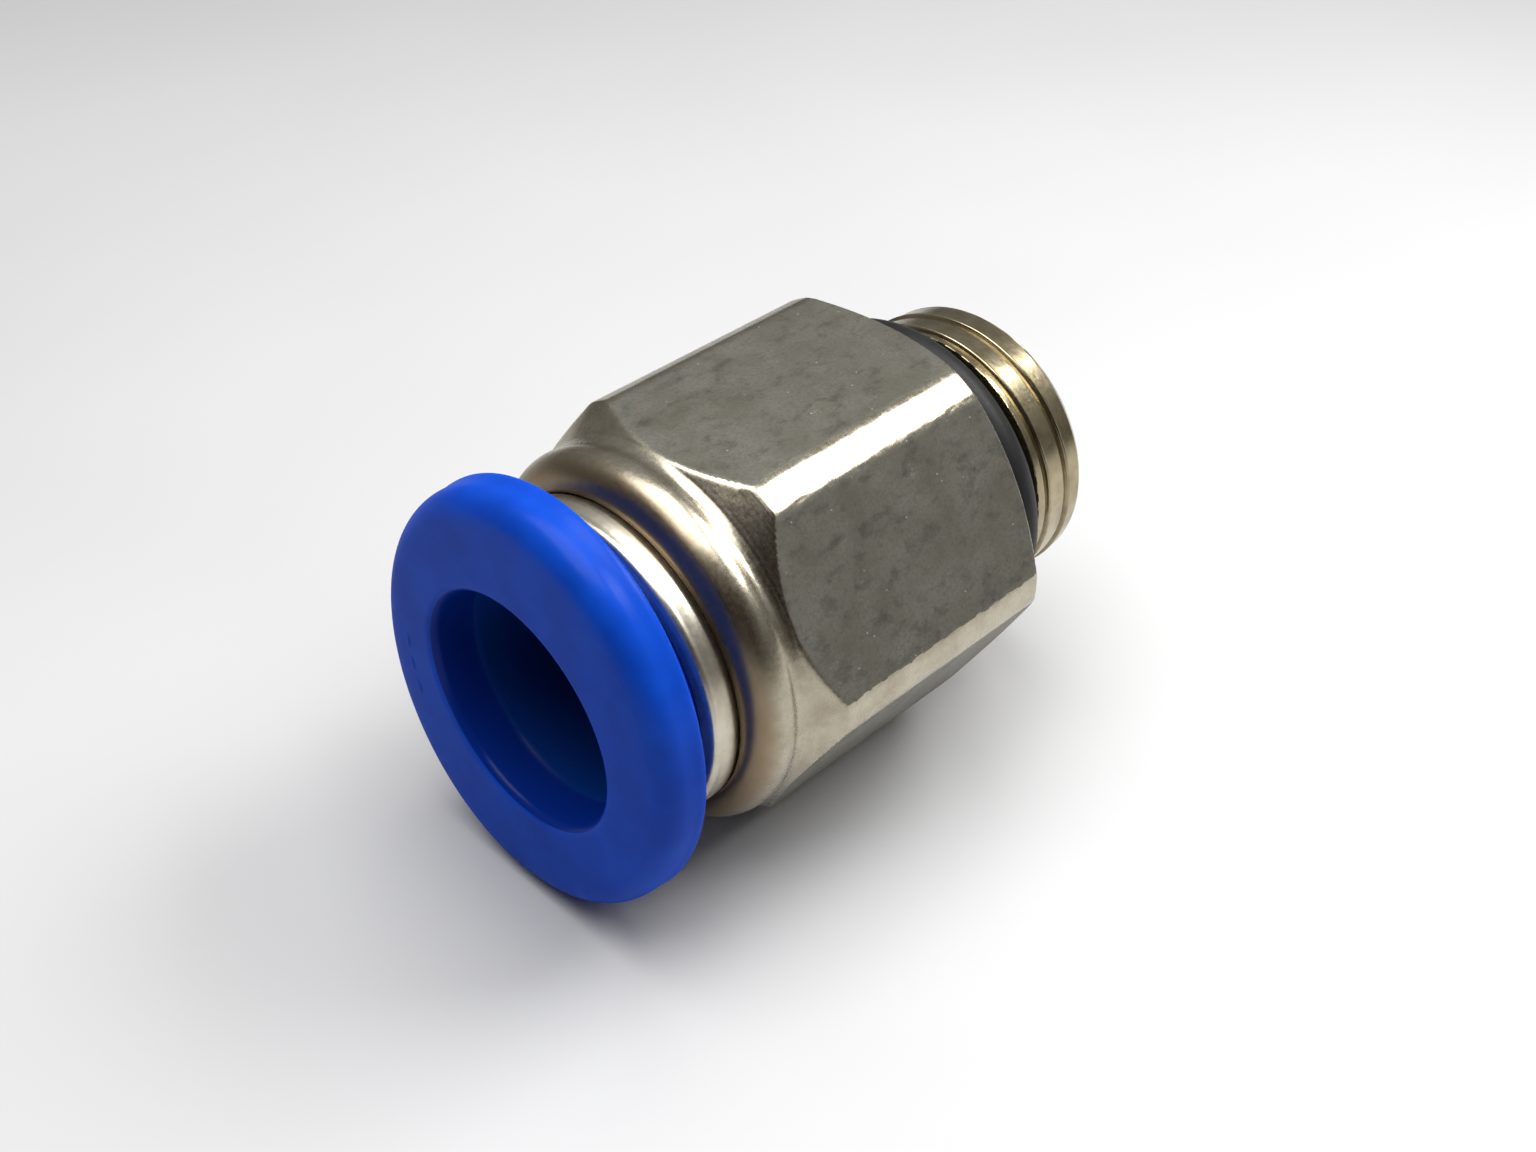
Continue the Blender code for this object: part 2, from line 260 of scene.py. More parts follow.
def edge_wear(angle, x):
    """How far the worn edges of the corner bands stray: most at an edge, none on a flat."""
    edge = SECTOR_DEG / 2 - CORNER_BAND_DEG
    from_edge = abs(math.degrees(abs(off_flat(angle))) - edge)
    share = max(1 - from_edge / EDGE_WEAR_DEG, 0.0)
    place = Vector((x * 1.9, angle * 17.0, 4.0))
    return EDGE_WEAR * share * (noise.noise(place) + 0.6 * noise.noise(place * 3.1))


def finish_mesh(name, shape, materials, body, replaced=()):
    """A mesh object from a bmesh, shaded smooth, riding on a body of the frame."""
    bmesh.ops.remove_doubles(shape, verts=shape.verts, dist=1e-8)
    bmesh.ops.recalc_face_normals(shape, faces=shape.faces)
    mesh = bpy.data.meshes.new(name)
    shape.to_mesh(mesh)
    shape.free()
    obj = bpy.data.objects.new(name, mesh)
    bpy.context.scene.collection.objects.link(obj)
    for material in materials:
        mesh.materials.append(material)
    mesh.shade_smooth()
    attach(obj, body)
    if replaced:
        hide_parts(*replaced)
    return obj


def skin(shape, rings, closed=True):
    """Quads between neighbouring rings of vertices, and from the last to the first if closed."""
    pairs = zip(rings, rings[1:] + rings[:1]) if closed else zip(rings, rings[1:])
    for ring, following in pairs:
        for k in range(len(ring)):
            m = (k + 1) % len(ring)
            shape.faces.new((ring[k], ring[m], following[m], following[k]))


def turned(profile, angles, place=on_axis):
    """A bmesh of a closed profile turned round the axis. place puts each of its points in space."""
    shape = bmesh.new()
    rings = [[shape.verts.new(place(r, angle, x)) for angle in angles] for r, x in profile]
    skin(shape, rings)
    return shape


def rounded(profile, radius, steps=4):
    """A closed profile with each of its corners rounded by a short curve."""
    points = []
    count = len(profile)
    for i in range(count):
        before = Vector(profile[i - 1])
        corner = Vector(profile[i])
        after = Vector(profile[(i + 1) % count])
        reach = min(radius, (before - corner).length * 0.45, (after - corner).length * 0.45)
        start = corner + (before - corner).normalized() * reach
        end = corner + (after - corner).normalized() * reach
        for k in range(steps + 1):
            t = k / steps
            points.append(tuple(start * (1 - t) ** 2 + corner * 2 * t * (1 - t) + end * t * t))
    return points


# ---------------------------------------------------------------- materials


class Painter:
    """A Principled BSDF material whose textures are laid out in millimetres about the axis."""

    def __init__(self, name):
        self.material = bpy.data.materials.new(name)
        self.material.use_nodes = True
        self.tree = self.material.node_tree
        self.shader = self.tree.nodes["Principled BSDF"]
        place = self.node("ShaderNodeTexCoord")
        scale = self.node("ShaderNodeMapping")
        scale.inputs["Location"].default_value = (0.0, 0.0, -AXIS_Z)
        scale.inputs["Scale"].default_value = (1 / MM, 1 / MM, 1 / MM)
        self.link(place.outputs["Object"], scale.inputs["Vector"])
        self.point = scale.outputs["Vector"]

    def node(self, kind, **settings):
        """A new node of this kind, with these properties."""
        made = self.tree.nodes.new(kind)
        for key, value in settings.items():
            setattr(made, key, value)
        return made

    def link(self, output, socket):
        self.tree.links.new(output, socket)

    def maths(self, operation, first, second):
        """A Math node on two values, each a number or another node's output."""
        made = self.node("ShaderNodeMath", operation=operation)
        for socket, value in zip(made.inputs, (first, second)):
            if isinstance(value, (int, float)):
                socket.default_value = value
            else:
                self.link(value, socket)
        return made.outputs[0]

    def stretched(self, scale):
        """The point, scaled by axis: a small figure stretches the texture along that axis."""
        made = self.node("ShaderNodeMapping")
        made.inputs["Scale"].default_value = scale
        self.link(self.point, made.inputs["Vector"])
        return made.outputs["Vector"]

    def parts(self):
        """The point's X, along the axis, and its Y and Z across it."""
        made = self.node("ShaderNodeSeparateXYZ")
        self.link(self.point, made.inputs[0])
        return made.outputs

    def from_axis(self):
        """The point's distance from the axis."""
        parts = self.parts()
        across = self.node("ShaderNodeCombineXYZ")
        self.link(parts["Y"], across.inputs["Y"])
        self.link(parts["Z"], across.inputs["Z"])
        length = self.node("ShaderNodeVectorMath", operation="LENGTH")
        self.link(across.outputs[0], length.inputs[0])
        return length.outputs["Value"]

    def noise(self, scale, detail=3.0, roughness=0.55, point=None, distortion=0.0):
        """Noise from 0 to 1. scale is about the number of its blotches per millimetre."""
        made = self.node("ShaderNodeTexNoise")
        made.inputs["Scale"].default_value = scale
        made.inputs["Detail"].default_value = detail
        made.inputs["Roughness"].default_value = roughness
        made.inputs["Distortion"].default_value = distortion
        self.link(point or self.point, made.inputs["Vector"])
        return made.outputs["Fac"]

    def turning_marks(self, lines_per_mm):
        """Fine uneven rings round the axis, as a lathe leaves them on sides and on end faces."""
        along = self.maths("ADD", self.parts()["X"], self.from_axis())
        made = self.node("ShaderNodeTexNoise", noise_dimensions="1D")
        made.inputs["Scale"].default_value = lines_per_mm
        made.inputs["Detail"].default_value = 2.0
        self.link(along, made.inputs["W"])
        return made.outputs["Fac"]

    def ramp(self, value, *stops):
        """A colour ramp. Each stop is (position, colour or grey level)."""
        made = self.node("ShaderNodeValToRGB")
        elements = made.color_ramp.elements
        while len(elements) < len(stops):
            elements.new(0.5)
        for element, (position, colour) in zip(elements, stops):
            element.position = position
            rgb = (colour,) * 3 if isinstance(colour, (int, float)) else colour
            element.color = (*rgb, 1.0)
        self.link(value, made.inputs["Fac"])
        return made.outputs["Color"]

    def mix(self, share, first, second):
        """The first output, turning into the second colour by this share."""
        made = self.node("ShaderNodeMix", data_type="RGBA")
        self.link(share, made.inputs[0])
        self.link(first, made.inputs[6])
        made.inputs[7].default_value = (*second, 1.0)
        return made.outputs[2]

    def between(self, value, low, high):
        """A noise value, which is mostly near the middle of 0 to 1, spread between two levels."""
        made = self.node("ShaderNodeMapRange")
        made.inputs["From Min"].default_value = 0.25
        made.inputs["From Max"].default_value = 0.75
        made.inputs["To Min"].default_value = low
        made.inputs["To Max"].default_value = high
        self.link(value, made.inputs["Value"])
        return made.outputs["Result"]

    def bumps(self, *layers):
        """Bump from (height, size in millimetres) layers, one on another."""
        normal = None
        for height, size in layers:
            made = self.node("ShaderNodeBump")
            made.inputs["Strength"].default_value = 1.0
            made.inputs["Distance"].default_value = size * MM
            self.link(height, made.inputs["Height"])
            if normal is not None:
                self.link(normal, made.inputs["Normal"])
            normal = made.outputs["Normal"]
        self.link(normal, self.shader.inputs["Normal"])

    def finish(self, colour, roughness, **constants):
        """The material, with these outputs on its shader and constants on its other sockets."""
        self.link(colour, self.shader.inputs["Base Color"])
        self.link(roughness, self.shader.inputs["Roughness"])
        for name, value in constants.items():
            socket = self.shader.inputs[name.replace("_", " ")]
            socket.default_value = value
        return self.material


def nickel_turned(name, light, dark, marks, rough_low, rough_high, nose_painted_shade=0.0):
    """Bright nickel plate over turned brass: faint rings, a warm tint, stains, and a painted dark
    reflection on the nose.
    """
    paint = Painter(name)
    rings = paint.turning_marks(6.0)
    cloud = paint.noise(0.9, 5.0, 0.6)
    stain = paint.noise(3.5, 6.0, 0.65, distortion=0.4)
    colour = paint.ramp(cloud, (0.32, dark), (0.62, light))
    colour = paint.mix(paint.ramp(stain, (0.60, 0.0), (0.78, 0.5)), colour, (0.30, 0.24, 0.15))
    # Painted dark reflection: the nose's front is browned and darkened so that it does not mirror
    # the lit blue flange.
    nose_shade_fade = paint.node("ShaderNodeMapRange", interpolation_type="SMOOTHSTEP")
    nose_shade_fade.inputs["From Min"].default_value = NOSE_SHADE_END_X
    nose_shade_fade.inputs["From Max"].default_value = NOSE_SHADE_FULL_X
    paint.link(paint.parts()["X"], nose_shade_fade.inputs["Value"])
    on_nose = paint.maths("MULTIPLY", nose_shade_fade.outputs["Result"], nose_painted_shade)
    colour = paint.mix(on_nose, colour, (0.22, 0.155, 0.085))
    rough = paint.between(paint.noise(6.0, 4.0), rough_low, rough_high)
    rough = paint.maths("ADD", rough, paint.between(rings, -0.02, 0.03))
    rough = paint.maths("ADD", rough, paint.maths("MULTIPLY", on_nose, 0.12))
    paint.bumps((rings, marks), (paint.noise(1.3, 2.0), 0.012))
    return paint.finish(colour, rough, Metallic=1.0)


def nickel_flat():
    """The hexagon's drawn flats: satin plate, cloudy and scuffed, with lengthwise lines."""
    paint = Painter("nickel_drawn_flats")
    lines = paint.noise(7.0, 3.0, 0.6, paint.stretched((0.12, 1.0, 1.0)))
    cloud = paint.noise(0.45, 6.0, 0.62, distortion=0.3)
    speckle = paint.noise(6.5, 6.0, 0.75)
    blot = paint.noise(1.3, 6.0, 0.68, paint.stretched((0.7, 1.0, 1.0)), distortion=0.2)
    colour = paint.ramp(cloud, (0.35, (0.175, 0.168, 0.132)), (0.65, (0.235, 0.229, 0.193)))
    dull = paint.ramp(speckle, (0.44, 0.0), (0.68, 0.65))
    colour = paint.mix(dull, colour, (0.105, 0.098, 0.072))
    blotted = paint.ramp(blot, (0.52, 0.0), (0.70, 0.6))
    colour = paint.mix(blotted, colour, (0.055, 0.061, 0.052))
    scratch_lines = paint.noise(3.2, 1.0, 0.4, paint.stretched((0.25, 2.6, 2.6)), distortion=1.5)
    scratches = paint.ramp(scratch_lines, (0.495, 0.0), (0.503, 1.0), (0.511, 0.0))
    scratched = paint.ramp(paint.noise(0.8, 2.0), (0.55, 0.0), (0.7, 1.0))
    worn = paint.maths("MULTIPLY", scratches, scratched)
    colour = paint.mix(paint.maths("MULTIPLY", worn, 0.35), colour, (0.62, 0.60, 0.54))
    pits = paint.node("ShaderNodeTexVoronoi", feature="F1")
    pits.inputs["Scale"].default_value = 1.4
    paint.link(paint.point, pits.inputs["Vector"])
    pit = paint.ramp(pits.outputs["Distance"], (0.03, 1.0), (0.07, 0.0))
    colour = paint.mix(paint.maths("MULTIPLY", pit, 0.6), colour, (0.75, 0.74, 0.68))
    rough = paint.between(speckle, 0.40, 0.58)
    paint.bumps(
        (lines, 0.004),
        (paint.noise(16.0, 4.0, 0.7), 0.006),
        (paint.maths("MULTIPLY", worn, -1.0), 0.003),
    )
    return paint.finish(colour, rough, Metallic=0.9)


def blue_acetal():
    """Moulded blue acetal: slightly waxy, with a fine grain, and painted shade in its bore."""
    paint = Painter("blue_acetal_moulded")
    flow = paint.noise(0.35, 3.0)
    grain = paint.noise(16.0, 4.0, 0.6)
    colour = paint.ramp(flow, (0.35, (0.004, 0.050, 0.42)), (0.65, (0.005, 0.064, 0.51)))
    # Painted shade: the bore is darkened, and its lead-in by the mouth darker still, where shade
    # falls inside.
    in_shaded_bore = paint.maths("LESS_THAN", paint.from_axis(), MOUTH_R + 0.2)
    colour = paint.mix(in_shaded_bore, colour, (0.003, 0.040, 0.25))
    in_shaded_lead = paint.maths("LESS_THAN", paint.parts()["X"], LEAD_END_X)
    in_shaded_lead = paint.maths("MULTIPLY", in_shaded_bore, in_shaded_lead)
    colour = paint.mix(in_shaded_lead, colour, (0.002, 0.024, 0.24))
    rough = paint.between(grain, 0.31, 0.38)
    scuff = paint.noise(2.4, 5.0, 0.7)
    rough = paint.maths("ADD", rough, paint.ramp(scuff, (0.55, 0.0), (0.75, 0.08)))
    paint.bumps((grain, 0.0022), (paint.noise(1.2, 2.0), 0.02))
    return paint.finish(
        colour,
        rough,
        Specular_IOR_Level=0.0,
        Coat_Weight=0.2,
        Coat_Roughness=0.26,
        Subsurface_Weight=0.12,
        Subsurface_Radius=(0.2 * MM, 0.4 * MM, 1.2 * MM),
        Subsurface_Scale=1.0,
    )


def black_rubber(name, level, roughness):
    """Moulded nitrile rubber: nearly black, dusty in places, with a fine matt skin."""
    paint = Painter(name)
    skin_noise = paint.noise(9.0, 5.0, 0.65)
    dust = paint.noise(5.0, 6.0, 0.75)
    colour = paint.ramp(paint.noise(1.1, 4.0), (0.35, level * 0.75), (0.65, level * 1.3))
    colour = paint.mix(paint.ramp(dust, (0.63, 0.0), (0.74, 0.35)), colour, (0.16, 0.17, 0.18))
    rough = paint.between(skin_noise, roughness - 0.06, roughness + 0.08)
    paint.bumps((skin_noise, 0.006), (paint.noise(28.0, 2.0), 0.0015))
    return paint.finish(colour, rough, Specular_IOR_Level=0.28)


def spring_steel():
    """Stamped stainless spring steel, brushed along the strip."""
    paint = Painter("claw_spring_steel")
    brushed = paint.noise(10.0, 3.0, 0.6, paint.stretched((0.2, 1.0, 1.0)))
    cloud = paint.noise(1.2, 4.0)
    colour = paint.ramp(cloud, (0.3, (0.50, 0.49, 0.46)), (0.7, (0.64, 0.63, 0.60)))
    paint.bumps((brushed, 0.003))
    return paint.finish(colour, paint.between(brushed, 0.24, 0.38), Metallic=1.0)


def pale_acetal():
    """The spacer's natural acetal: off-white and slightly mottled."""
    paint = Painter("spacer_acetal_moulded")
    cloud = paint.noise(0.8, 4.0)
    colour = paint.ramp(cloud, (0.35, (0.64, 0.61, 0.54)), (0.65, (0.74, 0.72, 0.66)))
    paint.bumps((paint.noise(14.0, 3.0), 0.003))
    return paint.finish(colour, paint.between(paint.noise(7.0, 3.0), 0.42, 0.55))


# ---------------------------------------------------------------- pieces


def make_hex_body(turned_metal, flat_metal):
    """The body up to its undercut: bead, front cone, hexagon, rear chamfer, seat and bores."""
    outer = [
        (UNDERCUT_R, UNDERCUT_END_X - 0.02),
        (UNDERCUT_R, SEAT[1] + 0.25),
        *arc(UNDERCUT_R + 0.25, SEAT[1] + 0.25, 0.25, 180, 270, 4),
        (SEAT[0] - 0.1, SEAT[1]),
        (SEAT[0] - 0.02, SEAT[1] - 0.03),
        (SEAT[0] + 0.04, SEAT[1] - 0.09),
        (CORNER_R - 0.08, HEX_REAR_X + 0.06),
        (CORNER_R - 0.01, HEX_REAR_X - 0.03),
        (CORNER_R, HEX_REAR_X - 0.14),
        (CORNER_R, HEX_FRONT_X + 0.14),
        (CORNER_R - 0.01, HEX_FRONT_X + 0.03),
        (CORNER_R - 0.08, HEX_FRONT_X - 0.07),
        CONE_START,
        VALLEY,
    ]
    outer = finer(outer, SEAT[1] - 1.3, SEAT[1], 0.05)
    outer = finer(outer, CONE_START[1], HEX_FRONT_X + 0.2, 0.05)
    outer = finer(outer, HEX_FRONT_X, HEX_REAR_X, 0.16)
    bead = arc(BEAD_CENTRE_R, NOSE_X + BEAD_R, BEAD_R, 22, -90, 28)
    inner = [
        (CLAW_BORE_R + 0.05, NOSE_X),
        (CLAW_BORE_R, NOSE_X + 0.15),
        (CLAW_BORE_R, CLAW_SHOULDER_X),
        (SEAL_BORE_R, CLAW_SHOULDER_X),
        (SEAL_BORE_R, SEAL_SHOULDER_X),
        (PILOT_R + 0.25, SEAL_SHOULDER_X),
        (PILOT_R, SEAL_SHOULDER_X + 0.3),
        (PILOT_R, TUBE_STOP_X),
        (FLOW_R + 0.15, TUBE_STOP_X),
        (FLOW_R, TUBE_STOP_X + 0.15),
        (FLOW_R, UNDERCUT_END_X - 0.02),
    ]

    def place(r, angle, x):
        flat = hex_radius(angle) + edge_wear(angle, x)
        return on_axis(soft_min(r, flat, HEX_EDGE_ROUND), angle, x)

    shape = turned(outer + bead + inner, hex_angles(), place)
    for face in shape.faces:
        centre = face.calc_center_median() / MM
        across = Vector((centre.y, centre.z - AXIS_Z))
        angle = math.atan2(across.x, -across.y)
        reach = across.length
        on_flat = abs(reach - hex_radius(angle)) < FLAT_TOLERANCE
        face.material_index = 1 if on_flat else 0
    metals = (turned_metal, flat_metal)
    finish_mesh("hex_body", shape, metals, "fitting_body", ("body",))


def thread_radius(along, x):
    """Radius of the thread's surface. along is measured from the helix, and x from mid-length.

    At both ends every column has the same radius, so that the rims are plain circles.
    """
    off_land = ((along / PITCH) % 1.0 - 0.5) * PITCH
    flank = MAJOR_R - (abs(off_land) - LAND_HALF) / math.tan(math.radians(FLANK_DEG))
    land = MAJOR_R - LAND_FALL * (off_land + LAND_HALF) / (2 * LAND_HALF)
    off_burr = off_land + LAND_HALF - BURR_WIDTH
    burr = BURR_HEIGHT * math.exp(-((off_burr / BURR_WIDTH) ** 2))
    top = soft_min(land - BURR_HEIGHT + burr, flank, LAND_ROUND)
    ridge = soft_max(MINOR_R, top, ROOT_ROUND)
    start_slope = START_R + max(x - THREAD_START_X, 0.0) * START_SLOPE
    to_rim = (END_CHAMFER_R - END_RIM_R) / (THREAD_END_X - END_CHAMFER_X)
    slope = to_rim if x > END_CHAMFER_X else END_CHAMFER_SLOPE
    end_slope = END_CHAMFER_R + (END_CHAMFER_X - x) * slope
    return min(ridge, start_slope, end_slope)


def helical_skin(shape):
    """The thread's surface, on a grid that climbs with the helix so that its edges are clean."""
    step = PITCH / ROWS_PER_PITCH
    rows = math.ceil((THREAD_END_X - THREAD_START_X) / step) + ROWS_PER_PITCH + 1
    columns = []
    for j in range(THREAD_COLUMNS + 1):
        turn = j / THREAD_COLUMNS
        column = []
        for i in range(rows):
            along = (i - ROWS_PER_PITCH) * step
            x = min(max(THREAD_START_X + along + turn * PITCH, THREAD_START_X), THREAD_END_X)
            point = on_axis(thread_radius(along, x), math.tau * turn, x)
            column.append(shape.verts.new(point))
        columns.append(column)
    for column, following in zip(columns, columns[1:]):
        for i in range(rows - 1):
            shape.faces.new((column[i], following[i], following[i + 1], column[i + 1]))
    bmesh.ops.remove_doubles(shape, verts=shape.verts, dist=1e-7)


def rim_at(shape, x):
    """The open rim at this station, in order round the axis."""
    rim = [v for v in shape.verts if v.is_boundary and abs(v.co.x - x * MM) < 0.01 * MM]
    return sorted(rim, key=lambda v: math.atan2(v.co.y, AXIS_Z * MM - v.co.z) % math.tau)


def make_thread(metal):
    """The male thread with its bore, a closed tube that carries on from the undercut."""
    shape = bmesh.new()
    helical_skin(shape)
    first_rim = rim_at(shape, THREAD_START_X)
    last_rim = rim_at(shape, THREAD_END_X)
    bore = (
        (FLOW_R + 0.34, THREAD_END_X),
        (FLOW_R + 0.28, THREAD_END_X - 0.05),
        (FLOW_R, THREAD_END_X - 0.34),
        (FLOW_R, THREAD_START_X),
    )
    angles = even_angles(THREAD_COLUMNS)
    rings = [[shape.verts.new(on_axis(r, angle, x)) for angle in angles] for r, x in bore]
    skin(shape, [last_rim, *rings, first_rim], closed=False)
    thread = finish_mesh("thread", shape, (metal,), "fitting_body", ("body",))
    thread.data.set_sharp_from_angle(angle=math.radians(THREAD_SHARP_DEG))


def make_o_ring(rubber):
    """The O-ring in the undercut, with the thin flash line that its mould leaves round it."""
    section = []
    steps = 40
    for i in range(steps):
        degrees = 90 - 360 * i / steps
        flash = O_RING_FLASH * math.exp(-((degrees / O_RING_FLASH_DEG) ** 2))
        radius = O_RING_SECTION_R - 0.005 + flash
        turn = math.radians(degrees)
        r = O_RING_R + radius * math.cos(turn)
        x = O_RING_X + radius * math.sin(turn)
        section.append((r, x))
    shape = turned(section, even_angles(COLUMNS))
    finish_mesh("o_ring", shape, (rubber,), "fitting_body", ("thread_o_ring",))


def make_guide_ring(metal):
    """The bright ring pressed into the nose, crowned at its front, with its lip and collar."""
    profile = [
        (COLLAR_R - 0.1, COLLAR_END_X),
        (COLLAR_R, COLLAR_END_X - 0.15),
        (COLLAR_R, NOSE_X - 0.04),
        (COLLAR_R + 0.02, NOSE_X - 0.10),
        (RING_R, NOSE_X - 0.16),
        (RING_R + 0.01, NOSE_X - 0.35),
        (RING_R, NOSE_X - 0.60),
        (RING_R - 0.03, NOSE_X - 0.82),
        *arc(RING_R - 0.35, RING_FACE_X + 0.31, 0.31, 10, -90, 10),
        (RING_LIP_R + 0.12, RING_FACE_X),
        (RING_LIP_R + 0.03, RING_FACE_X + 0.04),
        (RING_LIP_R, RING_FACE_X + 0.12),
        (RING_LIP_R, RING_LIP_END_X),
        (COLLAR_BORE_R, RING_LIP_END_X + 0.05),
        (COLLAR_BORE_R, COLLAR_END_X),
    ]
    shape = turned(profile, even_angles(COLUMNS))
    finish_mesh("bright_ring", shape, (metal,), "fitting_body", ("guide_ring",))


def oval(r, angle, x, share):
    """A point moved out along the flange's long axis, by this share of the full oval."""
    turn = math.radians(OVAL_TURN_DEG)
    long_side = 1 + (OVAL_LONG - 1) * share
    short_side = 1 + (1 / OVAL_LONG - 1) * share
    u = r * math.cos(angle - turn) * long_side
    v = r * math.sin(angle - turn) * short_side
    down = u * math.cos(turn) - v * math.sin(turn)
    sideways = u * math.sin(turn) + v * math.cos(turn)
    return Vector((x, sideways, AXIS_Z - down)) * MM


def make_button(blue):
    """The release button: soft oval flange, smooth bore, slotted sleeve with its barb and nose."""
    sleeve = [
        (SLEEVE_BORE_R, NOSE_TIP_X),
        (NOSE_TIP_R, NOSE_TIP_X),
        (NOSE_TIP_R + 0.06, NOSE_TIP_X - 0.04),
        (SLEEVE_R - 0.05, NOSE_TIP_X - 1.13),
        (BARB_R, RING_LIP_END_X + 0.4),
        (BARB_R, RING_LIP_END_X + 0.12),
        (SLEEVE_R, RING_LIP_END_X + 0.1),
        (SLEEVE_R, FLANGE_BACK_X + 0.12),
        (SLEEVE_R + 0.04, FLANGE_BACK_X + 0.04),
        (SLEEVE_R + 0.12, FLANGE_BACK_X),
    ]
    rim = FLANGE_R
    back_round = FLANGE_BACK_ROUND
    flange = [
        (rim - 0.9, FLANGE_BACK_X),
        *arc(rim - back_round, FLANGE_BACK_X - back_round, back_round, 90, 0, 6),
        (rim - 0.004, FLANGE_BACK_X - 0.32),
        (rim - 0.02, FLANGE_BACK_X - 0.44),
        (rim - 0.04, FLANGE_BACK_X - 0.58),
        (rim - 0.05, FLANGE_BACK_X - 0.76),
        *arc(rim - 0.05 - FACE_ROUND, FACE_X + FACE_ROUND, FACE_ROUND, 0, -78, 18),
        (rim - 1.35, FACE_X + 0.004),
        (rim - 1.9, FACE_X),
        (MOUTH_R + 0.75, FACE_X),
    ]
    mouth = [
        *arc(MOUTH_R + MOUTH_ROUND, FACE_X + MOUTH_ROUND, MOUTH_ROUND, -90, -180, 10),
        (MOUTH_R, FACE_X + 1.2),
        (MOUTH_R, FACE_X + 1.85),
        (MOUTH_R - 0.02, FACE_X + 1.97),
        (MOUTH_R - 0.06, FACE_X + 2.09),
        (SLEEVE_BORE_R + 0.02, FACE_X + 2.21),
        (SLEEVE_BORE_R, FACE_X + 2.35),
        (SLEEVE_BORE_R, -10.0),
        (SLEEVE_BORE_R, -8.0),
    ]

    def place(r, angle, x):
        share = min(max((r - SLEEVE_R) / (FLANGE_R - 1.9 - SLEEVE_R), 0.0), 1.0)
        smooth = share * share * (3 - 2 * share) if x < FLANGE_BACK_X + 0.01 else 0.0
        return oval(r, angle, x, smooth)

    shape = turned(sleeve + flange + mouth, even_angles(COLUMNS), place)
    button = finish_mesh("button", shape, (blue,), "button", ("release_button",))
    cut_slots(button)
    button.data.set_sharp_from_angle(angle=math.radians(BUTTON_SHARP_DEG))


def cut_slots(button):
    """Cuts the sleeve's four slots, two at a time, so that it can spring in behind the lip."""
    past_tip = 1.0
    length = NOSE_TIP_X + past_tip - SLOT_END_X
    across = 2 * BARB_R + 1.3
    for turn_deg in (0, 90):
        shape = bmesh.new()
        bmesh.ops.create_cube(shape, size=1.0)
        sizes = Vector((length, SLOT_WIDTH, across)) * MM
        bmesh.ops.scale(shape, vec=sizes, verts=shape.verts)
        turn = Matrix.Rotation(math.radians(turn_deg), 3, "X")
        bmesh.ops.rotate(shape, cent=(0, 0, 0), matrix=turn, verts=shape.verts)
        middle = Vector((SLOT_END_X + length / 2, 0.0, AXIS_Z)) * MM
        bmesh.ops.translate(shape, vec=middle, verts=shape.verts)
        mesh = bpy.data.meshes.new("slot_cutter")
        shape.to_mesh(mesh)
        shape.free()
        cutter = bpy.data.objects.new("slot_cutter", mesh)
        bpy.context.scene.collection.objects.link(cutter)
        cut = button.modifiers.new("Slot", "BOOLEAN")
        cut.operation = "DIFFERENCE"
        cut.solver = "EXACT"
        cut.object = cutter
        graph = bpy.context.evaluated_depsgraph_get()
        result = bpy.data.meshes.new_from_object(button.evaluated_get(graph))
        button.modifiers.clear()
        button.data = result
        bpy.data.objects.remove(cutter)


def make_face_bars(blue):
    """Three short raised bars on the button's face, in place of its moulded mark."""
    shape = bmesh.new()
    steps = 12
    for middle_deg in BAR_ANGLES:
        rings = []
        for i in range(steps + 1):
            t = i / steps
            along = math.radians(middle_deg - BAR_LENGTH_DEG / 2 + BAR_LENGTH_DEG * t)
            swell = math.sin(math.pi * t) ** 0.45 if 0 < t < 1 else 0.0
            ring = []
            for turn in even_angles(steps):
                r = BAR_R + BAR_HALF_WIDTH * swell * math.cos(turn)
                x = FACE_X + BAR_SINK - BAR_HEIGHT * swell * math.sin(turn)
                ring.append(shape.verts.new(oval(r, along, x, 0.6)))
            rings.append(ring)
        skin(shape, rings, closed=False)
        shape.faces.new(rings[0])
        shape.faces.new(rings[-1])
    finish_mesh("button_face_bars", shape, (blue,), "button")


def make_tube_seal(rubber):
    """The lip seal behind the spacer, which grips the tube."""
    profile = [
        (SEAL_R - 0.1, SEAL_BACK_X),
        (SEAL_R, SEAL_BACK_X - 0.3),
        (SEAL_R, SEAL_FRONT_X + 0.2),
        (SEAL_R - 0.2, SEAL_FRONT_X),
        (SEAL_LIP_R + 0.5, SEAL_FRONT_X),
        (SEAL_LIP_R + 0.32, SEAL_FRONT_X + 0.3),
        (SEAL_LIP_R, SEAL_BACK_X - 1.1),
        (SEAL_LIP_R + 0.08, SEAL_BACK_X - 0.2),
        (SEAL_LIP_R + 0.35, SEAL_BACK_X),
        (SEAL_R - 1.1, SEAL_BACK_X - 1.1),
        (SEAL_R - 0.75, SEAL_BACK_X - 1.1),
        (SEAL_R - 0.45, SEAL_BACK_X),
    ]
    shape = turned(rounded(profile, 0.12), even_angles(INNER_COLUMNS))
    finish_mesh("lip_seal", shape, (rubber,), "fitting_body", ("tube_seal",))


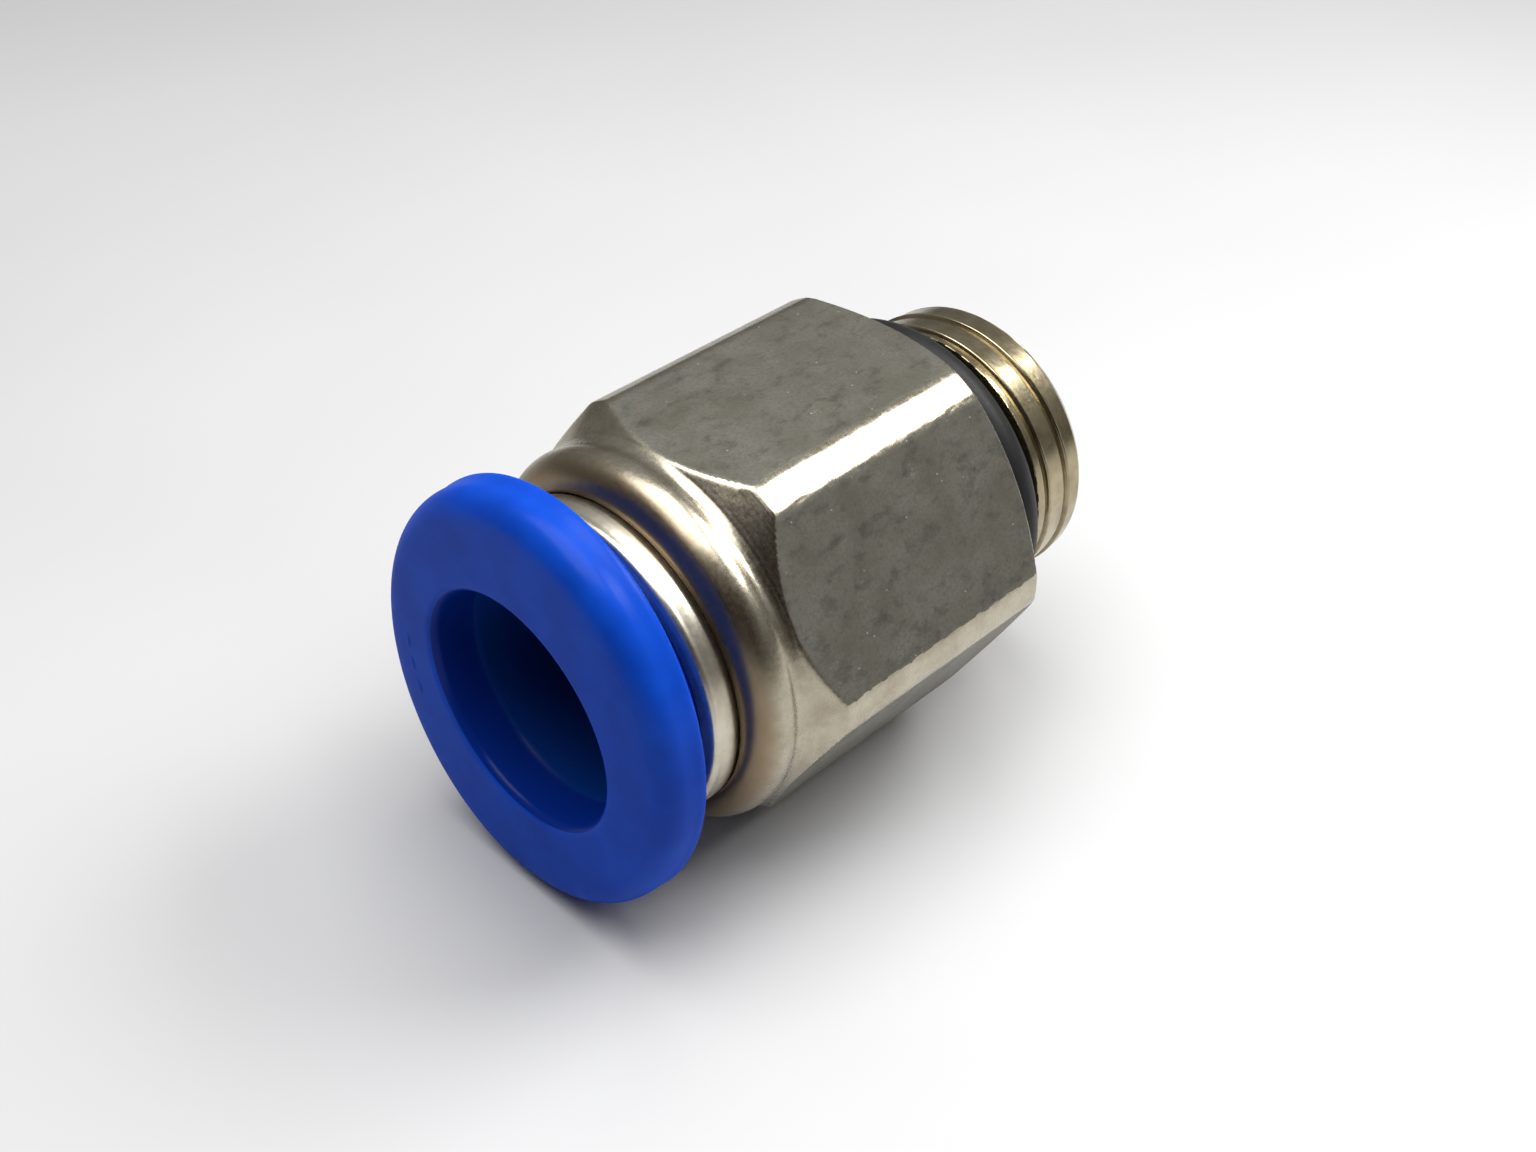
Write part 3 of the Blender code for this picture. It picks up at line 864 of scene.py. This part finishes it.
def make_spacer(acetal):
    """The cup between the claws and the seal, as wide as the seal."""
    profile = [
        (SEAL_R - 0.1, SPACER_BACK_X),
        (SEAL_R, SPACER_BACK_X - 0.1),
        (SEAL_R, SPACER_FRONT_X),
        (SEAL_R - 0.3, SPACER_FRONT_X),
        (SEAL_R - 0.3, SPACER_FRONT_X + 1.15),
        (SPACER_BORE_R + 0.1, SPACER_BACK_X - 0.95),
        (SPACER_BORE_R, SPACER_BACK_X - 0.75),
        (SPACER_BORE_R, SPACER_BACK_X),
    ]
    shape = turned(rounded(profile, 0.06), even_angles(INNER_COLUMNS))
    finish_mesh("spacer_cup", shape, (acetal,), "fitting_body", ("spacer_ring",))


def make_claw_band(steel):
    """The claw ring's band, from which the claws lean inwards."""
    profile = [
        (CLAW_BAND_R, CLAW_BAND_BACK_X),
        (CLAW_BAND_R, CLAW_BAND_FRONT_X),
        (CLAW_BAND_BORE_R, CLAW_BAND_FRONT_X),
        (CLAW_BAND_BORE_R, CLAW_BAND_BACK_X),
    ]
    shape = turned(rounded(profile, 0.05), even_angles(INNER_COLUMNS))
    finish_mesh("claw_band", shape, (steel,), "collet", ("claw_ring",))


def paint_claws(steel):
    """The CAD's own claws, which keep their shape and get the detailed steel."""
    for name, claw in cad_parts.items():
        if name.startswith("claw_") and name != "claw_ring":
            for slot in claw.material_slots:
                slot.material = steel


# ---------------------------------------------------------------- studio


def soft_box(name, place, aim, size, power):
    """A white rectangular light at this place, turned to the point that it lights."""
    data = bpy.data.lights.new(name, "AREA")
    data.shape = "RECTANGLE"
    data.size = size[0] * MM
    data.size_y = size[1] * MM
    data.energy = power
    light = bpy.data.objects.new(name, data)
    bpy.context.scene.collection.objects.link(light)
    light.location = Vector(place) * MM
    away = (Vector(place) - Vector(aim)).normalized()
    light.rotation_euler = away.to_track_quat("Z", "Y").to_euler()


def make_floor():
    """A plain pale floor, just under the fitting."""
    paint = Painter("studio_floor")
    paint.bumps((paint.noise(0.3, 3.0), 0.02))
    pale = paint.ramp(paint.noise(0.02, 2.0), (0.3, 0.56), (0.7, 0.60))
    paint.link(pale, paint.shader.inputs["Base Color"])
    paint.shader.inputs["Roughness"].default_value = 0.6
    shape = bmesh.new()
    bmesh.ops.create_grid(shape, x_segments=1, y_segments=1, size=FLOOR_HALF_SIZE * MM)
    mesh = bpy.data.meshes.new("studio_floor")
    shape.to_mesh(mesh)
    shape.free()
    floor = bpy.data.objects.new("studio_floor", mesh)
    floor.location.z = -FLOOR_GAP * MM
    mesh.materials.append(paint.material)
    bpy.context.scene.collection.objects.link(floor)


def make_camera():
    """The camera, turned from its azimuth, elevation and roll about the point that it aims at."""
    data = bpy.data.cameras.new("camera")
    data.lens = CAMERA_LENS
    data.sensor_width = 36.0
    data.clip_start = 1 * MM
    camera = bpy.data.objects.new("camera", data)
    bpy.context.scene.collection.objects.link(camera)
    turn = (
        Matrix.Rotation(math.radians(CAMERA_AZIMUTH), 4, "Z")
        @ Matrix.Rotation(math.radians(90 - CAMERA_ELEVATION), 4, "X")
        @ Matrix.Rotation(math.radians(CAMERA_ROLL), 4, "Z")
    )
    aim = Vector(CAMERA_AIM) + Vector((0.0, 0.0, AXIS_Z))
    place = aim + turn.to_3x3() @ Vector((0.0, 0.0, CAMERA_DISTANCE))
    camera.matrix_world = Matrix.Translation(place * MM) @ turn
    bpy.context.scene.camera = camera


def make_world():
    """A dim room that brightens towards its ceiling, and is darkest behind the camera."""
    world = bpy.data.worlds.new("studio")
    world.use_nodes = True
    nodes = world.node_tree.nodes
    links = world.node_tree.links
    background = nodes["Background"]
    place = nodes.new("ShaderNodeTexCoord")
    parts = nodes.new("ShaderNodeSeparateXYZ")
    ramp = nodes.new("ShaderNodeValToRGB")
    stops = ramp.color_ramp.elements
    stops[0].position = 0.0
    stops[0].color = (*ROOM_LOW, 1.0)
    stops[1].position = 1.0
    stops[1].color = (*ROOM_HIGH, 1.0)
    links.new(place.outputs["Generated"], parts.inputs[0])
    links.new(parts.outputs["Z"], ramp.inputs["Fac"])
    facing = nodes.new("ShaderNodeVectorMath")
    facing.operation = "DOT_PRODUCT"
    facing.inputs[1].default_value = Vector(DARK_SIDE).normalized()
    shade = nodes.new("ShaderNodeMapRange")
    shade.interpolation_type = "SMOOTHSTEP"
    shade.inputs["From Min"].default_value = 0.1
    shade.inputs["From Max"].default_value = 0.8
    mix = nodes.new("ShaderNodeMix")
    mix.data_type = "RGBA"
    mix.inputs[7].default_value = (*ROOM_DARK, 1.0)
    links.new(place.outputs["Generated"], facing.inputs[0])
    links.new(facing.outputs["Value"], shade.inputs["Value"])
    links.new(shade.outputs["Result"], mix.inputs[0])
    links.new(ramp.outputs["Color"], mix.inputs[6])
    links.new(mix.outputs[2], background.inputs["Color"])
    bpy.context.scene.world = world
    bpy.context.scene.view_settings.view_transform = "Standard"


# ---------------------------------------------------------------- build

# The body's last figure is the share of painted dark reflection on its nose.
turned_metal = nickel_turned(
    "nickel_turned_body", (0.48, 0.44, 0.345), (0.37, 0.325, 0.24), 0.0001, 0.21, 0.30, 0.85
)
golden_metal = nickel_turned(
    "nickel_turned_thread", (0.42, 0.36, 0.235), (0.29, 0.24, 0.145), 0.0001, 0.17, 0.26
)
bright_metal = nickel_turned(
    "nickel_bright_ring", (0.64, 0.595, 0.49), (0.53, 0.48, 0.38), 0.0002, 0.27, 0.36
)
blue = blue_acetal()
steel = spring_steel()

make_hex_body(turned_metal, nickel_flat())
make_thread(golden_metal)
make_o_ring(black_rubber("o_ring_nitrile", 0.010, 0.50))
make_guide_ring(bright_metal)
make_button(blue)
make_face_bars(blue)
make_tube_seal(black_rubber("seal_nitrile", 0.03, 0.52))
make_spacer(pale_acetal())
make_claw_band(steel)
paint_claws(steel)

make_floor()
make_world()
make_camera()
soft_box("key_softbox", *KEY_BOX)
soft_box("top_softbox", *TOP_BOX)
